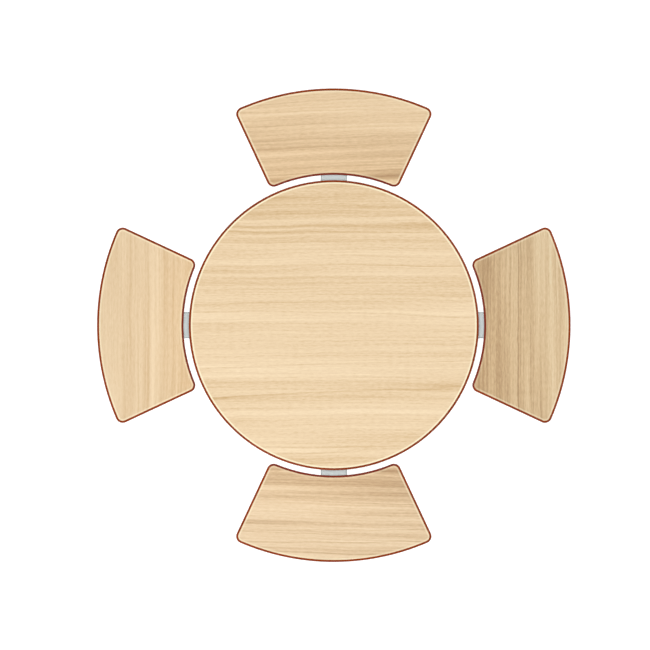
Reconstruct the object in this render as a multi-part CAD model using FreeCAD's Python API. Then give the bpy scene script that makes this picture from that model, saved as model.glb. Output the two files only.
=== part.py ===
# Round table with four swivel seats carried by one welded steel frame.
#
# Four flat arms of rectangular tube lie near the floor and meet a square column, which carries the table
# top on a star-shaped plate. Each arm carries a square post, and the moulded bush in its top holds the
# spindle of one seat, which turns a quarter turn each way between stops. The arms stand on screw-in
# levelling feet.
#
# Millimetres, +Z up. The origin is on the floor, under the middle of the table. Seat 1 is on +X, and
# seats 2, 3 and 4 follow it anticlockwise.

import FreeCAD
import Part
import math
import os

Vector = FreeCAD.Vector

# Table and seats
table_height = 750.0
table_diameter = 1100.0
seat_height = 450.0
seat_count = 4
seat_inner_radius = 570.0  # leaves a gap of 20 round the table top
seat_outer_radius = 898.0
seat_half_angle = 25.0  # degrees, from the seat's middle line to its straight side
seat_corner_radius = 27.0
board_thickness = 25.0
edge_width = 8.0  # of the bevelled edging, seen from above

# Tubes
tube_wall = 3.0
tube_corner = 6.0
column_side = 100.0
arm_width = 100.0
arm_height = 50.0
arm_end = 845.0  # from the middle of the table
arm_underside = 20.0
post_side = 60.0
post_radius = 725.0  # the seat balances here
cap_head = 5.0
cap_plug = 16.0
cap_chamfer = 3.5
plug_clearance = 0.2

# Star plate under the table top
star_thickness = 6.0
star_root = 100.0  # width of an arm where it leaves the column
star_tip = 50.0  # and at its end
star_reach = 400.0
star_tip_chamfer = 12.0
star_notch_fillet = 30.0
gusset_thickness = 6.0
gusset_reach = 130.0
gusset_depth = 80.0
gusset_nose = 12.0  # height left at its two ends

# Screws for the table top
table_screw_reach = 375.0
screw_radius = 3.0
screw_hole_radius = 3.4
screw_flats = 10.0
screw_head = 4.0
screw_bite = 17.0

# Swivel
spindle_radius = 12.5
running_clearance = 0.05
seat_gap = 0.3  # between the seat plate and the bush that it turns on
bush_flange = 5.0
bush_depth = 80.0
spindle_below_bush = 20.0
nut_flats = 36.0
nut_height = 12.0
stop_thickness = 8.0
stop_inner = 42.0  # from the spindle, just outside the corners of the bush
stop_outer = 54.0
stop_depth = 12.0
stop_gap = 0.3  # left at the end of the swivel
fin_height = 40.0

# Seat plate
seat_plate_thickness = 5.0
seat_plate_span = 320.0  # across the seat
seat_plate_middle = 150.0  # its width at the spindle
seat_plate_end = 80.0  # and at its two ends

# Levelling feet
foot_radius = 800.0  # from the middle of the table
foot_pad_flats = 42.0
foot_pad_height = 12.0
foot_pad_bevel = 4.0
foot_collar_flats = 19.0
foot_gap = 0.3  # under the arm, with the foot screwed right in
foot_stud_radius = 5.0
foot_stud_length = 30.0
foot_nut_flats = 17.0
foot_nut_height = 8.0

# Worked out from the above
up = Vector(0, 0, 1)
middle = Vector(0, 0, 0)
arm_top = arm_underside + arm_height
table_underside = table_height - board_thickness
seat_underside = seat_height - board_thickness
seat_plate_underside = seat_underside - seat_plate_thickness
bush_top = seat_plate_underside - seat_gap
post_top = bush_top - bush_flange
column_top = table_underside - star_thickness


def polar(radius, angle, z=0.0):
    return Vector(radius * math.cos(angle), radius * math.sin(angle), z)


def arc(start, through, end):
    return Part.Arc(start, through, end).toShape()


def slab(outline, z_low, z_high):
    """A plate with straight edges, from its corners seen from above."""
    corners = [Vector(x, y, z_low) for x, y in outline]
    return Part.Face(Part.makePolygon(corners + corners[:1])).extrude(up * (z_high - z_low))


def box(x_low, x_high, y_low, y_high, z_low, z_high):
    return Part.makeBox(x_high - x_low, y_high - y_low, z_high - z_low, Vector(x_low, y_low, z_low))


def block(x_size, y_size, z_low, z_high):
    """A box centred on the Z axis."""
    return box(-x_size / 2, x_size / 2, -y_size / 2, y_size / 2, z_low, z_high)


def rod(radius, z_low, z_high, x=0.0):
    return Part.makeCylinder(radius, z_high - z_low, Vector(x, 0, z_low), up)


def hexagon(flats, z_low, z_high, x=0.0):
    """A six-sided bar, with flats as its size across them."""
    corners = [polar(flats / math.sqrt(3), math.radians(60 * k)) for k in range(6)]
    return slab([(x + c.x, c.y) for c in corners], z_low, z_high)


def upright_edges(shape):
    return [e for e in shape.Edges if abs(e.tangentAt(e.FirstParameter).z) > 0.9]


def square_tube(x_size, y_size, z_low, z_high):
    """A square or rectangular tube with the round outer corners of a rolled section."""
    bar = block(x_size, y_size, z_low, z_high)
    hollow = block(x_size - 2 * tube_wall, y_size - 2 * tube_wall, z_low, z_high)
    return bar.makeFillet(tube_corner, upright_edges(bar)).cut(hollow)


def tube_plug(x_size, y_size, head_low, head_high, plug_end):
    """A moulded piece that closes a tube: a head on its end, and a plug that fits inside it."""
    head = block(x_size, y_size, head_low, head_high)
    head = head.makeChamfer(cap_chamfer, upright_edges(head))
    inset = 2 * (tube_wall + plug_clearance)
    plug = block(x_size - inset, y_size - inset, min(head_low, plug_end), max(head_high, plug_end))
    return head.fuse(plug).removeSplitter()


def lay_along_arm(shape):
    """Lays a piece that stands on the Z axis along +X, at the height of the arms."""
    shape.rotate(middle, Vector(0, 1, 0), 90)
    shape.translate(up * (arm_underside + arm_height / 2))
    return shape


def turned(shape, k):
    """A copy of a piece made for seat 1, turned to seat k + 1."""
    copy = shape.copy()
    copy.rotate(middle, up, 360 / seat_count * k)
    return copy


# Table top


def table_board():
    """A disc with a pilot hole in its underside for each screw."""
    board = rod(table_diameter / 2 - edge_width, table_underside, table_height)
    pilot = rod(screw_radius, table_underside, table_underside + screw_bite, table_screw_reach)
    return board.cut([turned(pilot, k) for k in range(seat_count)])


def table_edge():
    """The edging is bevelled above and below, down to a plain band."""
    edging = rod(table_diameter / 2, table_underside, table_height)
    rims = [e for e in edging.Edges if e.Closed]
    opening = rod(table_diameter / 2 - edge_width, table_underside, table_height)
    return edging.makeChamfer(edge_width, rims).cut(opening)


def star_plate():
    """Four tapered arms with filleted corners between them, drilled near their tips for screws."""
    tip = star_tip / 2
    arm = [
        (star_root / 2, -star_root / 2),
        (star_reach - star_tip_chamfer, -tip),
        (star_reach, star_tip_chamfer - tip),
        (star_reach, tip - star_tip_chamfer),
        (star_reach - star_tip_chamfer, tip),
    ]
    outline = []
    for k in range(seat_count):
        c, s = math.cos(2 * math.pi * k / seat_count), math.sin(2 * math.pi * k / seat_count)
        outline += [(x * c - y * s, x * s + y * c) for x, y in arm]
    star = slab(outline, column_top, table_underside)
    notches = [e for e in upright_edges(star) if math.hypot(e.Vertexes[0].X, e.Vertexes[0].Y) < star_root]
    star = star.makeFillet(star_notch_fillet, notches)
    hole = rod(screw_hole_radius, column_top, table_underside, table_screw_reach)
    return star.cut([turned(hole, k) for k in range(seat_count)])


def table_screw():
    """A coach screw: a hexagon head below the star plate, and a shank that fills its pilot hole."""
    head = hexagon(screw_flats, column_top - screw_head, column_top, table_screw_reach)
    shank = rod(screw_radius, column_top, table_underside + screw_bite, table_screw_reach)
    return head.fuse(shank).removeSplitter()


# Column and arms


def column():
    return square_tube(column_side, column_side, arm_underside, column_top)


def column_cap():
    plug_end = arm_underside + cap_plug
    return tube_plug(column_side, column_side, arm_underside - cap_head, arm_underside, plug_end)


def gusset():
    """An upright rib in the corner between the column and the star plate."""
    face = column_side / 2
    profile = [
        (face, 0),
        (face + gusset_reach, 0),
        (face + gusset_reach, -gusset_nose),
        (face + gusset_nose, -gusset_depth),
        (face, -gusset_depth),
    ]
    corners = [Vector(x, -gusset_thickness / 2, column_top + z) for x, z in profile]
    return Part.Face(Part.makePolygon(corners + corners[:1])).extrude(Vector(0, gusset_thickness, 0))


def arm():
    """A tube from the column outwards, with a nut welded inside it over the hole for its levelling foot."""
    tube = lay_along_arm(square_tube(arm_height, arm_width, column_side / 2, arm_end))
    floor = arm_underside + tube_wall
    nut = hexagon(foot_nut_flats, floor, floor + foot_nut_height, foot_radius)
    thread = rod(foot_stud_radius + running_clearance, arm_underside, floor + foot_nut_height, foot_radius)
    return tube.fuse(nut).cut(thread).removeSplitter()


def arm_cap():
    return lay_along_arm(tube_plug(arm_height, arm_width, arm_end, arm_end + cap_head, arm_end - cap_plug))


def levelling_foot():
    """A moulded six-sided pad with a collar for a spanner, on a stud."""
    pad = hexagon(foot_pad_flats, 0.0, foot_pad_height, foot_radius)
    rim = [e for e in pad.Edges if e.BoundBox.ZMin > foot_pad_height - 0.01]
    pad = pad.makeChamfer(foot_pad_bevel, rim)
    collar_top = arm_underside - foot_gap
    collar = hexagon(foot_collar_flats, foot_pad_height, collar_top, foot_radius)
    stud = rod(foot_stud_radius, collar_top, collar_top + foot_stud_length, foot_radius)
    return pad.fuse([collar, stud]).removeSplitter()


# Post and swivel, made with the spindle on the Z axis and moved out to the post


def on_post(shape):
    shape.translate(Vector(post_radius, 0, 0))
    return shape


def post():
    return on_post(square_tube(post_side, post_side, arm_top, post_top))


def stop_fin():
    """A fin on the inner side of the post, which the lugs under the seat meet after a quarter turn."""
    half = stop_thickness / 2
    top = seat_plate_underside - stop_gap
    return on_post(box(-stop_outer, -post_side / 2, -half, half, post_top - fin_height, top))


def swivel_bush():
    bush = tube_plug(post_side, post_side, post_top, bush_top, post_top - bush_depth)
    bore = rod(spindle_radius + running_clearance, post_top - bush_depth, bush_top)
    return on_post(bush.cut(bore))


def seat_bracket():
    """One weldment: the plate under the seat, the spindle and its nut, and the two stop lugs."""
    end, half, tip = seat_plate_span / 2, seat_plate_middle / 2, seat_plate_end / 2
    one_side = [(tip, -end), (half, -tip), (half, tip), (tip, end)]
    plate = slab(one_side + [(-x, -y) for x, y in one_side], seat_plate_underside, seat_underside)
    bottom = post_top - bush_depth - spindle_below_bush
    spindle = rod(spindle_radius, bottom, seat_plate_underside)
    nut_top = post_top - bush_depth - seat_gap
    nut = hexagon(nut_flats, nut_top - nut_height, nut_top)
    near = stop_thickness / 2 + stop_gap
    low, high = seat_plate_underside - stop_depth, seat_plate_underside
    lugs = [
        box(near, near + stop_thickness, stop_inner, stop_outer, low, high),
        box(near, near + stop_thickness, -stop_outer, -stop_inner, low, high),
    ]
    return on_post(plate.fuse([spindle, nut] + lugs).removeSplitter())


# Seat


def seat_outline(inset):
    """The seat seen from above: two arcs round the table, two straight sides and round corners.

    inset moves the whole outline inwards, as far as the board inside the edging."""
    side = math.radians(seat_half_angle)
    corner = seat_corner_radius - inset
    outer = seat_outer_radius - inset
    inner = seat_inner_radius + inset
    square_to_side = Vector(-math.sin(side), math.cos(side), 0)

    def rounding(radius, centre_radius):
        """The start, middle and end of one round corner, from the big arc to the straight side."""
        turn = side - math.asin(seat_corner_radius / centre_radius)
        centre = polar(centre_radius, turn)
        on_arc = polar(radius, turn)
        on_side = centre + square_to_side * corner
        half_way = centre + (on_arc + on_side - centre * 2).normalize() * corner
        return [on_arc, half_way, on_side]

    outer_left = rounding(outer, outer - corner)
    inner_left = rounding(inner, inner + corner)
    outer_right = [Vector(p.x, -p.y, 0) for p in outer_left]
    inner_right = [Vector(p.x, -p.y, 0) for p in inner_left]
    edges = [
        arc(outer_right[0], Vector(outer, 0, 0), outer_left[0]),
        arc(*outer_left),
        Part.makeLine(outer_left[2], inner_left[2]),
        arc(*reversed(inner_left)),
        arc(inner_left[0], Vector(inner, 0, 0), inner_right[0]),
        arc(*inner_right),
        Part.makeLine(inner_right[2], outer_right[2]),
        arc(*reversed(outer_right)),
    ]
    return Part.Wire(edges)


def seat_layer(inset):
    layer = Part.Face(seat_outline(inset)).extrude(up * board_thickness)
    layer.translate(up * seat_underside)
    return layer


def seat_board():
    return seat_layer(edge_width)


def seat_edge():
    edging = seat_layer(0.0)
    rims = [e for e in edging.Edges if e.BoundBox.ZLength < 0.01]
    return edging.makeChamfer(edge_width, rims).cut(seat_board())


# Output


def save(name, shape):
    shape.exportStep(f"parts/{name}.step")


def save_group(name, shape):
    """Like pieces of the frame, one below each seat, as separate solids of one node."""
    save(name, Part.makeCompound([turned(shape, k) for k in range(seat_count)]))


os.makedirs("parts", exist_ok=True)

save("table_board", table_board())
save("table_edge", table_edge())
save("star_plate", star_plate())
save("column", column())
save("column_cap", column_cap())
save_group("table_screws", table_screw())
save_group("gussets", gusset())
save_group("arm_caps", arm_cap())
save_group("stop_fins", stop_fin())
save_group("swivel_bushes", swivel_bush())

made_for_each_seat = {
    "arm": arm(),
    "levelling_foot": levelling_foot(),
    "post": post(),
    "seat_bracket": seat_bracket(),
    "seat_board": seat_board(),
    "seat_edge": seat_edge(),
}
for k in range(seat_count):
    for name, shape in made_for_each_seat.items():
        save(f"{name}_{k + 1}", turned(shape, k))
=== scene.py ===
# Round table with four swivel seats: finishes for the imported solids, and the welds, screws and feet on them
import math
import random

import bmesh
import bpy
from mathutils import Matrix, Vector


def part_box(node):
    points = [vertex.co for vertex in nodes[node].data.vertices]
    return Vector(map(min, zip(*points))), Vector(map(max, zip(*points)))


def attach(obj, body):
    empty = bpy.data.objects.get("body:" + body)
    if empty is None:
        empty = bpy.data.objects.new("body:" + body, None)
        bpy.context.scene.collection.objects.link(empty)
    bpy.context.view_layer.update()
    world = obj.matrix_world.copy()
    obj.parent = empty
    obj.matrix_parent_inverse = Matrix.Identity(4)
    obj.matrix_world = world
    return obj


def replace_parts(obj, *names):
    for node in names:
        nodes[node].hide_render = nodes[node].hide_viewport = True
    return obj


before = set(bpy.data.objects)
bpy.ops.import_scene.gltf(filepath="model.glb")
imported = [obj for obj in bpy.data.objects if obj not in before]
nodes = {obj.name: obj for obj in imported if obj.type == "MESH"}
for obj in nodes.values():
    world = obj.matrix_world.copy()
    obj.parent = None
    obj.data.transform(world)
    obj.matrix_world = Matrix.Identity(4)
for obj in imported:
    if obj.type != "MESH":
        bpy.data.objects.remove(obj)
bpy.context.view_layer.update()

seatNumbers = range(1, 5)  # seat 1 is on +X, and the others follow it anticlockwise
up = Vector((0, 0, 1))
mm = 0.001
print("frame loaded:", len(nodes), "nodes")


def reachOf(node):  # nearest and farthest point of a node from the upright line through the table's middle
    found = [math.hypot(vertex.co.x, vertex.co.y) for vertex in nodes[node].data.vertices]
    return min(found), max(found)


def middleOf(node):  # its place along X
    low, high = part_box(node)
    return (low.x + high.x) / 2


def quarterTurn(k):  # takes what is made for seat 1 to seat k
    return Matrix.Rotation(math.tau / len(seatNumbers) * (k - 1), 4, "Z")


# Shader maths: a Wire holds a socket, and a sum of Wires adds its Math nodes


class Wire:
    def __init__(self, tree, socket=None):
        self.tree = tree
        self.socket = socket

    def node(self, kind, settings=None, inputs=None, output=0):
        made = self.tree.nodes.new(kind)
        for name, value in (settings or {}).items():
            if name == "stops":
                setStops(made.color_ramp, value)
            else:
                setattr(made, name, value)
        for name, value in (inputs or {}).items():
            if isinstance(value, Wire):
                self.tree.links.new(value.socket, made.inputs[name])
            else:
                made.inputs[name].default_value = value
        if isinstance(output, tuple):
            return [Wire(self.tree, made.outputs[name]) for name in output]
        return Wire(self.tree, made.outputs[output])

    def math(self, operation, *values):
        return self.node("ShaderNodeMath", {"operation": operation}, dict(enumerate(values)))

    def __add__(self, other):
        return self.math("ADD", self, other)

    def __radd__(self, other):
        return self.math("ADD", other, self)

    def __sub__(self, other):
        return self.math("SUBTRACT", self, other)

    def __rsub__(self, other):
        return self.math("SUBTRACT", other, self)

    def __mul__(self, other):
        return self.math("MULTIPLY", self, other)

    def __rmul__(self, other):
        return self.math("MULTIPLY", other, self)

    def __truediv__(self, other):
        return self.math("DIVIDE", self, other)

    def __rtruediv__(self, other):
        return self.math("DIVIDE", other, self)

    def __pow__(self, other):
        return self.math("POWER", self, other)

    def __neg__(self):
        return self.math("MULTIPLY", self, -1.0)

    def __abs__(self):
        return self.math("ABSOLUTE", self)

    def rise(self, low, high):  # 0 up to low and 1 from high on, eased between them
        settings = {"interpolation_type": "SMOOTHSTEP"}
        return self.node("ShaderNodeMapRange", settings, {0: self, 1: low, 2: high})

    def parts(self):
        return self.node("ShaderNodeSeparateXYZ", inputs={0: self}, output=(0, 1, 2))

    def vector(self, x, y, z):
        return self.node("ShaderNodeCombineXYZ", inputs={0: x, 1: y, 2: z})

    def noise(self, scale=1.0, detail=2.0, roughness=0.5):  # about 0.5, over the place that this wire holds
        values = {"Vector": self, "Scale": scale, "Detail": detail, "Roughness": roughness}
        return self.node("ShaderNodeTexNoise", inputs=values)

    # Sockets 6 and 7 of the Mix node are its two colours, and output 2 is the mixed one

    def blend(self, first, second):  # first where this wire is 0, second where it is 1
        return self.node("ShaderNodeMix", {"data_type": "RGBA"}, {0: self, 6: first, 7: second}, output=2)

    def tinted(self, colour):  # this colour multiplied by another
        settings = {"data_type": "RGBA", "blend_type": "MULTIPLY"}
        return self.node("ShaderNodeMix", settings, {0: 1.0, 6: self, 7: colour}, output=2)

    def bump(self, distance, strength):
        values = {"Height": self, "Distance": distance, "Strength": strength}
        return self.node("ShaderNodeBump", inputs=values)


def setStops(ramp, stops):
    while len(ramp.elements) > 1:
        ramp.elements.remove(ramp.elements[-1])
    ramp.elements[0].position, ramp.elements[0].color = stops[0]
    for position, tone in stops[1:]:
        ramp.elements.new(position).color = tone


def rgb(red, green, blue):
    return (red, green, blue, 1.0)


def startMaterial(name, **constants):  # a constant is named after its socket, with _ for a space
    material = bpy.data.materials.new(name)
    material.use_nodes = True
    shader = material.node_tree.nodes["Principled BSDF"]
    for socket, value in constants.items():
        shader.inputs[socket.replace("_", " ")].default_value = value
    place = Wire(material.node_tree).node("ShaderNodeTexCoord", output="Object")
    return material, shader, place


def drive(shader, **wires):
    for socket, wire in wires.items():
        shader.id_data.links.new(wire.socket, shader.inputs[socket.replace("_", " ")])


def dress(name, material):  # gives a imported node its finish
    piece = nodes[name]
    piece.data.materials.clear()
    piece.data.materials.append(material)


# Camera, lights and floor

cameraLook = {
    "span": 2.4645,  # metres across the picture
    "centre": (-0.0334, 0.0008),
    "height": 4.0,
    "farthest": 50,
}


def placeCamera(look):
    data = bpy.data.cameras.new("plan_camera")
    data.type = "ORTHO"
    data.ortho_scale = look["span"]
    data.clip_end = look["farthest"]
    camera = bpy.data.objects.new("plan_camera", data)
    camera.location = (*look["centre"], look["height"])
    bpy.context.scene.collection.objects.link(camera)
    bpy.context.scene.camera = camera


lightLook = {
    "sun": 2.16,
    "sunAngle": 1.4,  # degrees across, small enough to reach the floor through the gap round the table
    "sky": 0.26,  # overhead
    "horizon": 0.40,
    "ground": 1.0,  # below the horizon
    "horizonBand": (0.06, 0.42),  # the sky fades from one to the other between these heights of a unit dome
    "groundBand": (-0.02, 0.0),
    "aim": (0, 0, 0.35),
    "boxes": [  # name, place, width, height, watts
        ("front_softbox", (-2.4, -3.4, 2.0), 2.4, 1.6, 55),
        ("side_softbox", (3.6, 1.4, 1.5), 1.8, 1.2, 22),
        ("back_softbox", (-1.6, 3.8, 1.2), 1.8, 1.0, 16),
    ],
}


def placeLights(look):
    sun = bpy.data.lights.new("ceiling_light", "SUN")
    sun.energy = look["sun"]
    sun.angle = math.radians(look["sunAngle"])
    bpy.context.scene.collection.objects.link(bpy.data.objects.new("ceiling_light", sun))
    for name, place, width, height, watts in look["boxes"]:
        data = bpy.data.lights.new(name, "AREA")
        data.shape = "RECTANGLE"
        data.size = width
        data.size_y = height
        data.energy = watts
        box = bpy.data.objects.new(name, data)
        box.location = place
        ahead = Vector(look["aim"]) - Vector(place)
        box.rotation_euler = ahead.to_track_quat("-Z", "Y").to_euler()
        bpy.context.scene.collection.objects.link(box)
    world = bpy.data.worlds.new("studio")
    world.use_nodes = True
    sky = world.node_tree.nodes["Background"]
    way = Wire(world.node_tree).node("ShaderNodeTexCoord", output="Generated")
    sky.inputs["Color"].default_value = (1, 1, 1, 1)
    height = way.parts()[2]
    strength = look["horizon"] + height.rise(*look["horizonBand"]) * (look["sky"] - look["horizon"])
    strength = strength + (1 - height.rise(*look["groundBand"])) * (look["ground"] - look["horizon"])
    world.node_tree.links.new(strength.socket, sky.inputs["Strength"])
    bpy.context.scene.world = world
    bpy.context.scene.view_settings.view_transform = "Standard"


floorLook = {
    "halfSide": 40.0,
    "albedo": 0.80,
    "blueTint": 0.99,  # red and green in the clouds, as shares of blue
    "clouds": 3.0,
    "roughness": 0.9,
    "glow": 0.42,
}


def placeFloor(look):
    half = look["halfSide"]
    mesh = bpy.data.meshes.new("floor")
    corners = [(-half, -half, 0), (half, -half, 0), (half, half, 0), (-half, half, 0)]
    mesh.from_pydata(corners, [], [(0, 1, 2, 3)])
    floor = bpy.data.objects.new("floor", mesh)
    bpy.context.scene.collection.objects.link(floor)
    matt = {"Roughness": look["roughness"], "Specular_IOR_Level": 0.0}
    material, shader, place = startMaterial("pale_floor", **matt, Emission_Strength=look["glow"])
    shader.inputs["Emission Color"].default_value = rgb(1, 1, 1)
    tone = look["albedo"]
    cool = tone * look["blueTint"]
    drive(shader, Base_Color=place.noise(look["clouds"]).blend(rgb(tone, tone, tone), rgb(cool, cool, tone)))
    mesh.materials.append(material)


# Oak-grain laminate

laminateLook = {
    "mid": rgb(0.765, 0.578, 0.356),
    "pale": rgb(0.905, 0.735, 0.50),
    "trim": rgb(0.92, 0.82, 0.56),  # where the trimmed edge shows its pale core
    "trimWidth": 8 * mm,
    "trimFade": (6 * mm, 40 * mm),  # how far from a seat's inner side the line changes strength; it is weaker next to the table as painted shade
    "backer": rgb(0.74, 0.69, 0.60),
    "faceDepth": (0.5 * mm, 1 * mm),  # the backer starts between these depths below the upper face
    "specular": 0.25,
    "roughness": 0.50,
    "fibreRoughness": 0.25,
    "poreRoughness": 0.12,
    "relief": 0.12 * mm,
    "reliefStrength": 0.35,
    "fibreRelief": 0.6,  # share of a pore's depth
    "ringRelief": 0.3,
    "bendsAcross": 2.6,  # per metre
    "ripples": (5.0, 9.0),  # smaller bends per metre, along and across the grain
    "rippleSeed": 3.1,
    "rippleShare": 0.16,  # of the larger bends
    "grain": {  # cells per metre along and across the grain, what is added to the seed, detail, roughness
        "broad": (0.5, 9.0, 0.0, 1.0, 0.5),
        "medium": (0.7, 38.0, 7.0, 3.0, 0.55),
        "narrow": (1.3, 130.0, 11.0, 2.0, 0.7),
        "fibre": (14.0, 520.0, 17.0, 5.0, 0.72),
        "fleck": (45.0, 190.0, 19.0, 2.0, 0.6),
        "rings": (0.11, 5.0, 23.0, 1.0, 0.5),
        "ringPatches": (0.5, 9.0, 29.0, 1.0, 0.5),
        "pores": (30.0, 1100.0, 31.0, 2.0, 0.5),
    },
    "weights": {"broad": 0.50, "medium": 0.85, "narrow": 0.60, "fibre": 0.40},
    "ringCount": 12.0,
    "ringWidth": 0.20,  # share of the way from one ring to the next
    "ringRange": (0.40, 0.60),  # values of "ringPatches" at which the rings come in
    "ringWeight": 0.24,
    "poreRange": (0.62, 0.70),
    "poreWeight": 0.30,
    "bandReach": 1.6,  # a band's lift ends at this many half widths
}
tableSheet = {
    "seed": 2.0,
    "contrast": 0.93,
    "wave": 0.036,  # how far the grain wanders sideways, in metres
    "bends": 1.4,  # how often it does, per metre
    "tilt": 0.0,
    "fleck": 0.60,
    "deep": rgb(0.568, 0.370, 0.162),
    "tint": rgb(1.0, 1.0, 1.0),
    "trim": 0.9,
    "bands": [  # centre across the grain in metres, half width, lift in tone
        (0.500, 0.130, -0.21),
        (0.399, 0.009, 0.20),
        (0.377, 0.006, -0.22),
        (0.358, 0.009, -0.22),
        (0.150, 0.012, -0.16),
        (0.042, 0.024, 0.20),
        (-0.175, 0.028, 0.14),
        (-0.225, 0.018, -0.10),
        (-0.329, 0.011, 0.34),
        (-0.358, 0.010, -0.16),
        (-0.466, 0.009, 0.28),
        (-0.498, 0.012, -0.22),
    ],
}

# Each seat is cut from a sheet of its own, and its bands are placed by their distance from the table's
# middle; the dark bands nearest the table, from about 0.55 to 0.61 m, are painted shade from the table top
# above

seatGrain = {"wave": 0.034, "bends": 2.2, "fleck": 0.45, "deep": rgb(0.545, 0.368, 0.195)}
seatSheets = {
    1: {
        **seatGrain,
        "seed": 11.0,
        "contrast": 2.05,
        "tilt": 0.008,
        "tint": rgb(0.745, 0.705, 0.625),
        "trim": (0.12, 0.34),  # on the side next to the table, weakened there as painted shade, and elsewhere
        "bands": [(0.560, 0.050, -0.40), (0.593, 0.006, -0.20), (0.609, 0.008, 0.12), (0.626, 0.007, -0.16),
                  (0.643, 0.007, 0.22), (0.668, 0.006, -0.12), (0.699, 0.003, -0.60), (0.707, 0.003, -0.30),
                  (0.722, 0.012, -0.20), (0.756, 0.010, 0.24), (0.860, 0.080, 0.16)],
    },
    2: {
        **seatGrain,
        "seed": 22.0,
        "contrast": 1.2,
        "wave": 0.026,
        "tilt": 0.04,
        "tint": rgb(0.915, 0.885, 0.845),
        "trim": (0.25, 0.47),
        "bands": [(0.553, 0.012, -0.60), (0.605, 0.050, -0.30), (0.628, 0.006, -0.10), (0.685, 0.020, -0.14),
                  (0.708, 0.006, -0.10), (0.740, 0.020, 0.12), (0.822, 0.012, 0.10)],
    },
    3: {
        **seatGrain,
        "seed": 33.0,
        "contrast": 0.98,
        "tilt": 0.0,
        "deep": rgb(0.590, 0.374, 0.168),
        "tint": rgb(0.873, 0.857, 0.833),
        "trim": (0.32, 0.47),
        "bands": [(0.560, 0.030, -0.20), (0.610, 0.030, -0.12), (0.668, 0.014, 0.14), (0.690, 0.010, 0.26),
                  (0.706, 0.006, -0.18), (0.720, 0.010, -0.10), (0.743, 0.008, 0.12), (0.850, 0.040, 0.16)],
    },
    4: {
        **seatGrain,
        "seed": 44.0,
        "contrast": 1.72,
        "wave": 0.024,
        "tilt": -0.03,
        "fleck": 0.34,
        "tint": rgb(0.855, 0.828, 0.808),
        "trim": (0.20, 0.41),
        "bands": [(0.565, 0.035, -0.40), (0.605, 0.016, -0.30), (0.652, 0.010, -0.18), (0.675, 0.012, 0.14),
                  (0.706, 0.006, -0.10), (0.757, 0.008, -0.12), (0.818, 0.022, 0.32), (0.860, 0.018, 0.20)],
    },
}


def beyond(start, end):  # the colour as far past end as end is from start, kept below white
    return rgb(*[min(0.95, far * far / near) for near, far in zip(start[:3], end[:3])])


def bandLift(lane, bands, reach):
    total = 0.0
    for centre, halfWidth, lift in bands:
        bell = 1 - abs((lane - centre) / halfWidth).rise(0.0, reach)
        total = bell * lift + total
    return total


def trimLine(look, rim, strength):  # rim is the distance from the board's edge
    return (1 - rim.rise(look["trimWidth"] * 0.5, look["trimWidth"])) * strength


def boardTop(look, node, z):  # 1 on a board's upper face and 0 on its underside
    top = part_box(node)[1].z
    start, end = look["faceDepth"]
    return z.rise(top - end, top - start)


def laminate(look, sheet, along, across, trim, isTop, place, shader):
    seed = sheet["seed"]
    drift = place.vector(along * sheet["bends"], across * look["bendsAcross"], seed).noise()
    cellsAlong, cellsAcross = look["ripples"]
    spot = place.vector(along * cellsAlong, across * cellsAcross, seed + look["rippleSeed"])
    ripple = spot.noise(detail=1.0)
    wander = (drift - 0.5) * sheet["wave"] + (ripple - 0.5) * (sheet["wave"] * look["rippleShare"])
    lane = across + along * sheet["tilt"] + wander
    grain = {}
    for name, (cellsAlong, cellsAcross, seedStep, detail, roughness) in look["grain"].items():
        spot = place.vector(along * cellsAlong, lane * cellsAcross, seed + seedStep)
        grain[name] = spot.noise(detail=detail, roughness=roughness)
    cycle = grain["rings"] * look["ringCount"]
    fromRing = abs(cycle.math("FRACT", cycle) - 0.5) * 2
    rings = (1 - fromRing.rise(0.0, look["ringWidth"])) * grain["ringPatches"].rise(*look["ringRange"])
    pores = grain["pores"].rise(*look["poreRange"])
    tone = (grain["fleck"] - 0.5) * sheet["fleck"] - rings * look["ringWeight"]
    for name, weight in look["weights"].items():
        tone = tone + (grain[name] - 0.5) * weight
    bands = bandLift(lane, sheet["bands"], look["bandReach"])
    tone = tone * sheet["contrast"] + bands - pores * look["poreWeight"]
    stops = [  # the middle tone is where tone is 0
        (0.0, beyond(look["mid"], sheet["deep"])),
        (0.25, sheet["deep"]),
        (0.5, look["mid"]),
        (0.75, look["pale"]),
        (1.0, beyond(look["mid"], look["pale"])),
    ]
    wood = tone.node("ShaderNodeValToRGB", {"stops": stops}, {0: 0.5 + tone * 0.5}).tinted(sheet["tint"])
    face = trim.blend(wood, look["trim"])
    fibre = grain["fibre"] - 0.5
    height = fibre * look["fibreRelief"] - pores - rings * look["ringRelief"]
    roughness = look["roughness"] + fibre * look["fibreRoughness"] + pores * look["poreRoughness"]
    drive(shader, Base_Color=isTop.blend(look["backer"], face), Roughness=roughness)
    drive(shader, Normal=(height * isTop).bump(look["relief"], look["reliefStrength"]))


def tableLaminate(look):
    material, shader, place = startMaterial("table_laminate", Specular_IOR_Level=look["specular"])
    x, y, z = place.parts()
    rim = reachOf("table_board")[1] - (x * x + y * y) ** 0.5
    trim = trimLine(look, rim, tableSheet["trim"])
    laminate(look, tableSheet, x, y, trim, boardTop(look, "table_board", z), place, shader)
    return material


edgeWidth = reachOf("table_edge")[1] - reachOf("table_board")[1]
seatShape = {
    "halfAngle": math.radians(25.0),  # from the seat's middle line to its straight side
    "cornerRadius": 27 * mm - edgeWidth,  # of the board inside its edging
}


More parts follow.
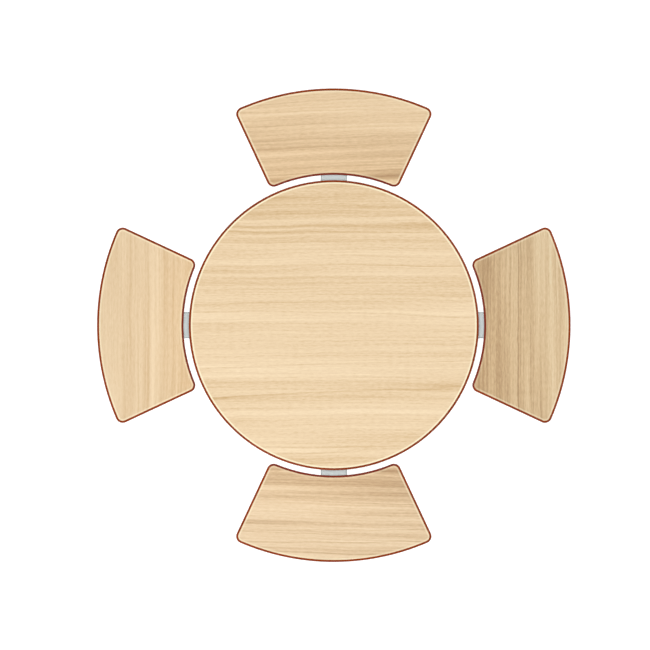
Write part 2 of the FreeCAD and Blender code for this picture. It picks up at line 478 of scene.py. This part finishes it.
def rimDistance(outwards, sideways, shape):  # how far a point of a seat's board is from its edge
    inner, outer = reachOf("seat_board_1")
    corner = shape["cornerRadius"]
    reach = (outwards * outwards + sideways * sideways) ** 0.5
    toArc = reach.math("MINIMUM", outer - reach, reach - inner)
    sine, cosine = math.sin(shape["halfAngle"]), math.cos(shape["halfAngle"])
    toSide = outwards * sine - abs(sideways) * cosine - edgeWidth
    fromArc = reach.math("MAXIMUM", corner - toArc, 0.0)
    fromSide = reach.math("MAXIMUM", corner - toSide, 0.0)
    return corner - (fromArc * fromArc + fromSide * fromSide) ** 0.5


def seatLaminate(look, k):
    material, shader, place = startMaterial(f"seat_laminate_{k}", Specular_IOR_Level=look["specular"])
    x, y, z = place.parts()
    outwards, sideways = [(x, y), (y, -x), (-x, -y), (-y, x)][k - 1]
    inner = reachOf("seat_board_1")[0]
    # painted shade: the pale line is weaker next to the table, in place of the table top's shadow
    near, far = look["trimFade"]
    away = ((x * x + y * y) ** 0.5).rise(inner + near, inner + far)
    trimInPaintedShade, elsewhere = seatSheets[k]["trim"]
    strength = trimInPaintedShade + away * (elsewhere - trimInPaintedShade)
    trim = trimLine(look, rimDistance(outwards, sideways, seatShape), strength)
    isTop = boardTop(look, f"seat_board_{k}", z)
    laminate(look, seatSheets[k], sideways, outwards, trim, isTop, place, shader)
    return material


# Red-brown edging

edgingLook = {
    "colour": rgb(0.272, 0.039, 0.002),
    "dark": rgb(0.215, 0.030, 0.002),
    "worn": rgb(0.41, 0.095, 0.025),
    "inner": rgb(0.19, 0.028, 0.014),  # painted shade: darker on the side of a seat that faces the table, in place of the table top's shadow
    "tableShadeBand": (1 * mm, 8 * mm),  # where the painted shade gives way to the others, from the board's inner side
    "lines": 1400.0,  # drawn lines per metre of height
    "lineChanges": 7.0,  # along a line, per metre
    "clouds": 14.0,
    "lineShare": 0.6,  # of the dark tone
    "cloudShare": 0.5,
    "darkRange": (0.35, 0.75),
    "wearWidth": 0.7 * mm,
    "wearPatches": 90.0,
    "wearRange": (0.45, 0.65),
    "wearStrength": 0.6,
    "roughness": 0.42,
    "lineRoughness": 0.3,
    "wearRoughness": -0.1,
    "specular": 0.09,
    "relief": 0.05 * mm,
    "reliefStrength": 0.25,
}


def edging(name, look, node, paintsTableShade):
    material, shader, place = startMaterial(name, Specular_IOR_Level=look["specular"])
    x, y, z = place.parts()
    low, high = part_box(node)
    change = look["lineChanges"]
    drawn = place.vector(x * change, y * change, z * look["lines"]).noise(detail=3.0, roughness=0.6)
    cloud = place.noise(look["clouds"], detail=3.0)
    darkness = (drawn * look["lineShare"] + cloud * look["cloudShare"]).rise(*look["darkRange"])
    fromRidge = z.math("MINIMUM", abs(z - (high.z - edgeWidth)), abs(z - (low.z + edgeWidth)))
    patches = place.noise(look["wearPatches"], detail=3.0).rise(*look["wearRange"])
    wear = (1 - fromRidge.rise(0.0, look["wearWidth"])) * patches
    colour = darkness.blend(look["colour"], look["dark"])
    colour = (wear * look["wearStrength"]).blend(colour, look["worn"])
    # painted shade: a seat's edging is darkened next to the table, as if the table top shaded it
    if paintsTableShade:
        inner = reachOf("seat_board_1")[0]
        start, end = look["tableShadeBand"]
        away = ((x * x + y * y) ** 0.5).rise(inner + start, inner + end)
        colour = away.blend(look["inner"], colour)
    roughness = look["roughness"] + (drawn - 0.5) * look["lineRoughness"] + wear * look["wearRoughness"]
    drive(shader, Base_Color=colour, Roughness=roughness)
    drive(shader, Normal=drawn.bump(look["relief"], look["reliefStrength"]))
    return material


# Paint, plastics and zinc

paintLook = {
    "colour": rgb(0.385, 0.418, 0.424),
    "shade": rgb(0.325, 0.358, 0.366),
    "scuff": rgb(0.21, 0.225, 0.23),
    "clouds": 5.0,
    "flakes": 3200.0,
    "peel": 520.0,
    "cloudShare": 0.5,  # of the shade
    "flakeShare": 0.35,
    "shadeRange": (0.2, 0.8),
    "scuffs": (30, 30, 6),  # patches per metre along x, y and z
    "scuffBand": (-4 * mm, 30 * mm),  # they fade out over these heights, from the arms' upper faces
    "scuffRange": (0.62, 0.80),
    "scuffStrength": 0.25,
    "metallic": 0.1,
    "specular": 0.35,
    "roughness": 0.48,
    "peelRoughness": 0.2,
    "flakeRoughness": 0.08,
    "scuffRoughness": 0.1,
    "relief": 0.15 * mm,
    "reliefStrength": 0.4,
    "flakeRelief": 0.25,  # share of the peel's depth
}


def framePaint(look):
    gloss = {"Metallic": look["metallic"], "Specular_IOR_Level": look["specular"]}
    material, shader, place = startMaterial("silver_grey_powder_coat", **gloss)
    cloud = place.noise(look["clouds"], detail=3.0)
    values = {"Vector": place, "Scale": look["flakes"]}
    sparkle = place.node("ShaderNodeTexVoronoi", inputs=values, output="Color").parts()[0]
    peel = place.noise(look["peel"])
    axes = place.parts()
    patches = [axis * scale for axis, scale in zip(axes, look["scuffs"])]
    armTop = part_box("arm_1")[1].z
    start, end = look["scuffBand"]
    low = 1 - axes[2].rise(armTop + start, armTop + end)
    scuffed = place.vector(*patches).noise(detail=4.0, roughness=0.7).rise(*look["scuffRange"]) * low
    shade = (cloud * look["cloudShare"] + sparkle * look["flakeShare"]).rise(*look["shadeRange"])
    colour = shade.blend(look["colour"], look["shade"])
    colour = (scuffed * look["scuffStrength"]).blend(colour, look["scuff"])
    roughness = look["roughness"] + (peel - 0.5) * look["peelRoughness"]
    roughness = roughness + sparkle * look["flakeRoughness"] + scuffed * look["scuffRoughness"]
    height = peel + sparkle * look["flakeRelief"]
    drive(shader, Base_Color=colour, Roughness=roughness)
    drive(shader, Normal=height.bump(look["relief"], look["reliefStrength"]))
    return material


blackLook = {
    "colour": rgb(0.024, 0.024, 0.026),
    "grey": rgb(0.040, 0.040, 0.042),
    "clouds": 60.0,
    "grain": 1700.0,
    "grainShare": 0.4,  # of the grey
    "cloudShare": 0.6,
    "greyRange": (0.4, 0.75),
    "specular": 0.45,
    "roughness": 0.55,
    "grainRoughness": 0.3,
    "relief": 0.10 * mm,
    "reliefStrength": 0.4,
}


def blackPlastic(look):
    material, shader, place = startMaterial("black_moulded_plastic", Specular_IOR_Level=look["specular"])
    grain = place.noise(look["grain"], detail=3.0, roughness=0.6)
    cloud = place.noise(look["clouds"], detail=4.0, roughness=0.6)
    greyness = (grain * look["grainShare"] + cloud * look["cloudShare"]).rise(*look["greyRange"])
    drive(shader, Base_Color=greyness.blend(look["colour"], look["grey"]))
    drive(shader, Roughness=look["roughness"] + (grain - 0.5) * look["grainRoughness"])
    drive(shader, Normal=grain.bump(look["relief"], look["reliefStrength"]))
    return material


bushLook = {
    "colour": rgb(0.78, 0.76, 0.70),
    "shade": rgb(0.66, 0.63, 0.56),
    "clouds": 35.0,
    "grain": 900.0,
    "shadeRange": (0.4, 0.7),
    "subsurface": 0.05,
    "roughness": 0.38,
    "grainRoughness": 0.2,
    "relief": 0.05 * mm,
    "reliefStrength": 0.3,
}


def bushPlastic(look):
    material, shader, place = startMaterial("off_white_bush_plastic", Subsurface_Weight=look["subsurface"])
    grain = place.noise(look["grain"])
    cloud = place.noise(look["clouds"], detail=3.0)
    drive(shader, Base_Color=cloud.rise(*look["shadeRange"]).blend(look["colour"], look["shade"]))
    drive(shader, Roughness=look["roughness"] + (grain - 0.5) * look["grainRoughness"])
    drive(shader, Normal=grain.bump(look["relief"], look["reliefStrength"]))
    return material


zincLook = {
    "colour": rgb(0.56, 0.58, 0.60),
    "dull": rgb(0.40, 0.41, 0.41),
    "spangles": 240.0,
    "scratches": (2400.0, 2400.0, 300.0),  # per metre along x, y and z
    "dullRange": (0.4, 0.65),
    "roughness": 0.28,
    "spangleRoughness": 0.15,
    "scratchRoughness": 0.15,
    "relief": 0.02 * mm,
    "reliefStrength": 0.3,
}


def zincSteel(look):
    material, shader, place = startMaterial("zinc_plated_steel", Metallic=1.0)
    scratches = [axis * scale for axis, scale in zip(place.parts(), look["scratches"])]
    spangle = place.noise(look["spangles"], detail=3.0, roughness=0.6)
    scratch = place.vector(*scratches).noise()
    roughness = look["roughness"] + spangle * look["spangleRoughness"]
    roughness = roughness + (scratch - 0.5) * look["scratchRoughness"]
    drive(shader, Base_Color=spangle.rise(*look["dullRange"]).blend(look["colour"], look["dull"]))
    drive(shader, Roughness=roughness, Normal=scratch.bump(look["relief"], look["reliefStrength"]))
    return material


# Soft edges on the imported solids

softLook = {
    "stitch": 0.01 * mm,  # points this close become one
    "flat": math.radians(0.5),  # faces that lean less than this become one
    "sharp": math.radians(28),
    "segments": 2,
}
softEdges = {  # width of the rounding on every sharp edge
    "table_edge": 1.2 * mm,
    "seat_edge": 1.2 * mm,
    "star_plate": 0.8 * mm,
    "column": 0.6 * mm,
    "gussets": 0.8 * mm,
    "arm": 0.6 * mm,
    "post": 0.6 * mm,
    "seat_bracket": 0.8 * mm,
    "stop_fins": 0.8 * mm,
    "arm_caps": 1.2 * mm,
    "column_cap": 1.2 * mm,
    "swivel_bushes": 1.0 * mm,
}


def soften(name, look, width):
    piece = nodes[name]
    weld = piece.modifiers.new("stitch", "WELD")
    weld.merge_threshold = look["stitch"]
    merge = piece.modifiers.new("flat_faces", "DECIMATE")
    merge.decimate_type = "DISSOLVE"
    merge.angle_limit = look["flat"]
    bevel = piece.modifiers.new("soft_edge", "BEVEL")
    bevel.width = width
    bevel.segments = look["segments"]
    bevel.limit_method = "ANGLE"
    bevel.angle_limit = look["sharp"]
    bevel.use_clamp_overlap = True
    bevel.harden_normals = True


# Making pieces: rings of points, joined by faces

crease = math.radians(35)  # shading breaks at sharper edges than this
sixth = math.radians(60)


def angles(segments):
    return [math.tau * j / segments for j in range(segments)]


def polar(centre, radius, angle, z):
    return centre + Vector((radius * math.cos(angle), radius * math.sin(angle), z))


def circleRing(centre, radius, z, segments):
    return [polar(centre, radius, angle, z) for angle in angles(segments)]


def hexRadius(angle, flats):
    return flats / 2 / math.cos((angle + sixth / 2) % sixth - sixth / 2)


def newShape():
    return {"points": [], "faces": []}


def addRings(shape, rings, loop=False):
    first = len(shape["points"])
    count = len(rings[0])
    for ring in rings:
        shape["points"] += ring
    for i in range(len(rings) if loop else len(rings) - 1):
        here = first + i * count
        there = first + (i + 1) % len(rings) * count
        for j in range(count):
            after = (j + 1) % count
            shape["faces"].append((here + j, here + after, there + after, there + j))
    if not loop:
        shape["faces"].append(tuple(range(first, first + count)))
        last = first + (len(rings) - 1) * count
        shape["faces"].append(tuple(range(last, last + count)))


def makePiece(name, shape, material, body, turn=1):
    mesh = bpy.data.meshes.new(name)
    mesh.from_pydata([quarterTurn(turn) @ point for point in shape["points"]], [], shape["faces"])
    work = bmesh.new()
    work.from_mesh(mesh)
    bmesh.ops.recalc_face_normals(work, faces=work.faces)
    work.to_mesh(mesh)
    work.free()
    mesh.polygons.foreach_set("use_smooth", [True] * len(mesh.polygons))
    mesh.set_sharp_from_angle(angle=crease)
    mesh.materials.append(material)
    piece = bpy.data.objects.new(name, mesh)
    bpy.context.scene.collection.objects.link(piece)
    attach(piece, body)
    return piece


def turnedShape(shape, k):
    return {"points": [quarterTurn(k) @ point for point in shape["points"]], "faces": shape["faces"]}


def joined(shapes):
    whole = newShape()
    for shape in shapes:
        first = len(whole["points"])
        whole["points"] += shape["points"]
        whole["faces"] += [tuple(first + i for i in face) for face in shape["faces"]]
    return whole


# Weld beads

weldLook = {
    "radius": 3.0 * mm,
    "thinRadius": 2.2 * mm,  # on the gussets, fins and lugs
    "tubeCorner": 6 * mm,
    "ribHalf": 3 * mm,  # half the thickness of a gusset
    "finHalf": 4 * mm,
    "end": 2 * mm,  # from a bead's end to the end of its seam
    "sides": 10,
    "step": 0.9 * mm,
    "pitch": 3.1 * mm,  # from one ripple to the next
    "ripple": 0.20,  # depth of a ripple, as a share of the bead's radius
    "roundness": 0.7,  # of a ripple's crown: the lower, the rounder
    "lag": 1.3 * mm,  # how far each ripple's sides trail behind its crown
    "wander": 0.05,
    "taper": (0.45, 0.2),  # share of the radius at a bead's end, and what each step adds to it
}
hand = random.Random(4)


# Walks a path of (point, outward) pairs and gives evenly spaced (point, outward, ahead)


def stations(path, step, loop):
    if loop:
        path = path + path[:1]
    lengths = [(after[0] - before[0]).length for before, after in zip(path, path[1:])]
    total = sum(lengths)
    count = max(4, round(total / step))
    found = []
    for i in range(count if loop else count + 1):
        left = total * i / count
        leg = 0
        while leg < len(lengths) - 1 and left > lengths[leg]:
            left -= lengths[leg]
            leg += 1
        share = left / lengths[leg]
        start, end = path[leg], path[leg + 1]
        outward = start[1].lerp(end[1], share)
        found.append((start[0].lerp(end[0], share), outward, (end[0] - start[0]).normalized()))
    return found


def addBead(shape, path, radius, loop=False):
    look = weldLook
    rings = []
    phase = hand.uniform(0, math.tau)
    places = stations(path, look["step"], loop)
    for number, (point, outward, ahead) in enumerate(places):
        travelled = number * look["step"]
        crest = abs(math.sin(math.pi * travelled / look["pitch"] + phase)) ** look["roundness"]
        size = radius * (1 - look["ripple"] * (1 - crest) + hand.uniform(-1, 1) * look["wander"])
        if not loop:
            fromEnd = min(number, len(places) - 1 - number)
            start, growth = look["taper"]
            size *= min(1.0, start + growth * fromEnd)
        outward = (outward - ahead * outward.dot(ahead)).normalized()
        side = ahead.cross(outward)
        ring = []
        for angle in angles(look["sides"]):
            trail = ahead * (look["lag"] * (math.cos(angle) - 1) / 2)
            ring.append(point + (outward * math.cos(angle) + side * math.sin(angle)) * size + trail)
        rings.append(ring)
    addRings(shape, rings, loop)


def straight(start, end, outward):
    direction = Vector(outward).normalized()
    return [(Vector(start), direction), (Vector(end), direction)]


# A seam round a square tube that stands on x, leaning up where lift is 1 and down where it is -1


def squareLoop(x, side, corner, z, lift):
    path = []
    inside = side / 2 - corner
    legs = 5  # straight pieces to each corner
    for quarter in range(4):
        for leg in range(legs + 1):
            angle = math.radians(90 * quarter + 90 / legs * leg)
            way = Vector((math.cos(angle), math.sin(angle), 0))
            sign = Vector((1 if quarter in (0, 3) else -1, 1 if quarter < 2 else -1, 0))
            path.append((Vector((x, 0, z)) + sign * inside + way * corner, (way + up * lift).normalized()))
    return path


def columnWelds():
    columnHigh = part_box("column")[1]
    armLow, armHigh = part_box("arm_1")
    side, bead = columnHigh.x, weldLook["radius"]
    shape = newShape()
    for z, lift in ((armHigh.z, 1), (armLow.z, -1), (columnHigh.z, -1)):
        addBead(shape, squareLoop(0, 2 * side, weldLook["tubeCorner"], z, lift), bead, True)
    for k in seatNumbers:
        between = newShape()  # in the corner between two arms
        addBead(between, straight((side, side, armLow.z), (side, side, armHigh.z), (1, 1, 0)), bead)
        shape = joined([shape, turnedShape(between, k)])
    return shape


def gussetWelds():
    side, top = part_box("column")[1].x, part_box("column")[1].z
    gussetLow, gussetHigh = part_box("gussets")
    bead, end = weldLook["thinRadius"], weldLook["end"]
    shape = newShape()
    for k in seatNumbers:
        rib = newShape()
        for way in (-1, 1):
            y = way * weldLook["ribHalf"]
            addBead(rib, straight((side, y, gussetLow.z + end), (side, y, top - end), (1, way, 0)), bead)
            addBead(rib, straight((side + end, y, top), (gussetHigh.x - end, y, top), (0, way, -1)), bead)
        shape = joined([shape, turnedShape(rib, k)])
    return shape


def postWelds():
    low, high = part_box("post_1")
    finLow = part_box("stop_fins")[0].z
    side, end = high.x - low.x, weldLook["end"]
    shape = newShape()
    for k in seatNumbers:
        post = newShape()
        loop = squareLoop(middleOf("post_1"), side, weldLook["tubeCorner"], low.z, 1)
        addBead(post, loop, weldLook["radius"], True)
        for way in (-1, 1):
            y = way * weldLook["finHalf"]
            seam = straight((low.x, y, finLow + end), (low.x, y, high.z - end), (-1, way, 0))
            addBead(post, seam, weldLook["thinRadius"])
        shape = joined([shape, turnedShape(post, k)])
    return shape


bracketShape = {  # of the plate under a seat, measured from the spindle
    "plate": 5 * mm,  # thickness
    "lugBack": 12.3 * mm,
    "lugInner": 43 * mm,
    "lugOuter": 53 * mm,
    "screws": (28 * mm, 130 * mm),
}
spindle = middleOf("post_1")
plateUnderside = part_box("seat_board_1")[0].z - bracketShape["plate"]


def lugWelds():
    x = spindle + bracketShape["lugBack"]
    inner, outer = bracketShape["lugInner"], bracketShape["lugOuter"]
    shape = newShape()
    for way in (-1, 1):
        seam = straight((x, way * inner, plateUnderside), (x, way * outer, plateUnderside), (1, 0, -1))
        addBead(shape, seam, weldLook["thinRadius"])
    return shape


# Screws under the boards

headShape = {
    "flangeCentre": 0.6,  # share of the flange's radius
    "flangeRim": 0.55,  # share of its thickness, where its bevel starts
    "flangeBevel": 0.5,  # the bevel's width, as a share of its thickness
    "fillet": 1.06,  # size of the hexagon where it meets the flange
    "chamfer": math.radians(30),
    "chamferStart": 0.49,  # radius, as a share of the flats
    "face": [(0.46, 0.0), (0.30, 0.0), (0.24, 0.5), (0.05, 0.6)],  # share of the flats, depth in millimetres
}
screwLook = {
    "flats": 8 * mm,
    "flange": 7.0 * mm,  # radius of the washer face
    "flangeThickness": 1.2 * mm,
    "height": 5.0 * mm,
    "segments": 48,
}
tableScrewLook = {
    "flats": 10 * mm,
    "flange": 8.5 * mm,
    "flangeThickness": 1.0 * mm,
    "height": 4.0 * mm,
    "segments": 48,
    "reaches": (250 * mm, 375 * mm),  # from the table's middle
}


def addScrewHead(shape, centre, look, spin):  # hangs below centre, with its six corners turned by spin
    head, segments, flats = headShape, look["segments"], look["flats"]
    flange, thin, tall = look["flange"], look["flangeThickness"], look["height"]

    def hexRing(share, chamfered):
        ring = []
        for angle in angles(segments):
            radius = hexRadius(angle, flats) * share
            rise = tall - thin
            if chamfered:
                rise = max(0.0, radius - flats * head["chamferStart"]) * math.tan(head["chamfer"])
            ring.append(polar(centre, radius, angle + spin, rise - tall))
        return ring

    rings = [
        circleRing(centre, flange * head["flangeCentre"], 0.0, segments),
        circleRing(centre, flange, 0.0, segments),
        circleRing(centre, flange, -thin * head["flangeRim"], segments),
        circleRing(centre, flange - thin * head["flangeBevel"], -thin, segments),
        hexRing(head["fillet"], False),
        hexRing(1.0, True),
    ]
    for share, depth in head["face"]:
        rings.append(circleRing(centre, flats * share, depth * mm - tall, segments))
    addRings(shape, rings)


def seatScrews():
    dx, dy = bracketShape["screws"]
    shape = newShape()
    for x in (spindle - dx, spindle + dx):
        for y in (-dy, dy):
            addScrewHead(shape, Vector((x, y, plateUnderside)), screwLook, hand.uniform(0, 1))
    return shape


def tableScrews():
    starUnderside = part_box("star_plate")[0].z
    shape = newShape()
    for k in seatNumbers:
        for reach in tableScrewLook["reaches"]:
            spot = quarterTurn(k) @ Vector((reach, 0, starUnderside))
            addScrewHead(shape, spot, tableScrewLook, hand.uniform(0, 1))
    return shape


# Levelling feet

footLook = {
    "flats": 42 * mm,
    "rounding": 26.0,  # the higher, the sharper the pad's six corners
    "segments": 72,
    "padProfile": [  # share of the full width, height in millimetres
        (0.45, 0.0), (0.90, 0.0), (0.965, 0.4), (0.99, 1.5), (0.99, 6.6), (0.965, 7.0), (0.965, 7.5),
        (0.985, 7.9), (0.975, 8.6), (0.90, 10.4), (0.815, 11.7), (0.78, 12.0), (0.60, 12.0),
    ],
    "collarFlats": 19 * mm,
    "collarLow": 11.5 * mm,  # half a millimetre inside the pad
    "collarHigh": 19.7 * mm,
    "collarBevel": 0.8 * mm,
    "collarMiddles": (8 * mm, 6 * mm),  # radius of the flat middle of its lower and its upper face
    "collarSegments": 48,
    "threadRoot": 4.35 * mm,
    "threadCrest": 4.98 * mm,
    "threadPitch": 1.5 * mm,
    "threadSunk": 0.2 * mm,  # how far it starts inside the collar
    "threadSegments": 24,
    "ringsPerPitch": 6,
}


def softHexagon(angle, flats, power):
    total = sum(max(0.0, math.cos(angle - sixth * (side + 0.5))) ** power for side in range(6))
    return flats / 2 / total ** (1 / power)


def padShape():
    look = footLook
    spot = Vector((middleOf("levelling_foot_1"), 0, 0))
    rings = []
    for share, height in look["padProfile"]:
        ring = []
        for angle in angles(look["segments"]):
            radius = softHexagon(angle, look["flats"], look["rounding"]) * share
            ring.append(polar(spot, radius, angle, height * mm))
        rings.append(ring)
    shape = newShape()
    addRings(shape, rings)
    return shape


def addCollar(shape, spot, look):
    low, high, bevel = look["collarLow"], look["collarHigh"], look["collarBevel"]
    flats, segments = look["collarFlats"], look["collarSegments"]
    lowerMiddle, upperMiddle = look["collarMiddles"]

    def hexRing(z, limit):
        return [polar(spot, min(hexRadius(angle, flats), limit), angle, z) for angle in angles(segments)]

    corner = flats / math.sqrt(3)
    bevelled = flats / 2
    addRings(shape, [
        circleRing(spot, lowerMiddle, low, segments),
        hexRing(low, bevelled),
        hexRing(low + bevel, corner),
        hexRing(high - bevel, corner),
        hexRing(high, bevelled),
        circleRing(spot, upperMiddle, high, segments),
    ])


def addThread(shape, spot, top, look):
    root, crest, pitch = look["threadRoot"], look["threadCrest"], look["threadPitch"]
    start, length = look["collarHigh"] - look["threadSunk"], top - look["collarHigh"]
    count = round(length / pitch * look["ringsPerPitch"])
    rings = []
    for i in range(count + 1):
        z = start + length * i / count
        ring = []
        for angle in angles(look["threadSegments"]):
            share = abs(((z / pitch - angle / math.tau) % 1.0) * 2 - 1)
            radius = root if i == count else root + (crest - root) * share  # it ends at the root
            ring.append(polar(spot, radius, angle, z))
        rings.append(ring)
    addRings(shape, rings)


def studShape():
    spot = Vector((middleOf("levelling_foot_1"), 0, 0))
    shape = newShape()
    addCollar(shape, spot, footLook)
    addThread(shape, spot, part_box("levelling_foot_1")[1].z, footLook)
    return shape


placeCamera(cameraLook)
placeLights(lightLook)
placeFloor(floorLook)
print("camera, lights and floor placed")

paint = framePaint(paintLook)
black = blackPlastic(blackLook)
bushWhite = bushPlastic(bushLook)
zinc = zincSteel(zincLook)
dress("table_board", tableLaminate(laminateLook))
dress("table_edge", edging("table_edging", edgingLook, "table_edge", False))
for k in seatNumbers:
    dress(f"seat_board_{k}", seatLaminate(laminateLook, k))
seatEdging = edging("seat_edging", edgingLook, "seat_edge_1", True)
for k in seatNumbers:
    dress(f"seat_edge_{k}", seatEdging)
    for part in ("arm", "post", "seat_bracket"):
        dress(f"{part}_{k}", paint)
    dress(f"levelling_foot_{k}", black)
for name in ("star_plate", "column", "gussets", "stop_fins"):
    dress(name, paint)
for name in ("column_cap", "arm_caps"):
    dress(name, black)
dress("swivel_bushes", bushWhite)
dress("table_screws", zinc)
print("finishes given to the packed solids")

for name, width in softEdges.items():
    for piece in [name] if name in nodes else [f"{name}_{k}" for k in seatNumbers]:
        soften(piece, softLook, width)
makePiece("column_welds", columnWelds(), paint, "frame")
makePiece("gusset_welds", gussetWelds(), paint, "frame")
makePiece("post_welds", postWelds(), paint, "frame")
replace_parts(makePiece("table_screw_heads", tableScrews(), zinc, "frame"), "table_screws")
for k in seatNumbers:
    makePiece(f"lug_welds_{k}", lugWelds(), paint, f"seat_{k}", k)
    makePiece(f"seat_screws_{k}", seatScrews(), zinc, f"seat_{k}", k)
    pad = makePiece(f"foot_pad_{k}", padShape(), black, f"foot_{k}", k)
    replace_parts(pad, f"levelling_foot_{k}")
    makePiece(f"foot_stud_{k}", studShape(), zinc, f"foot_{k}", k)
print("welds, screws and feet made")
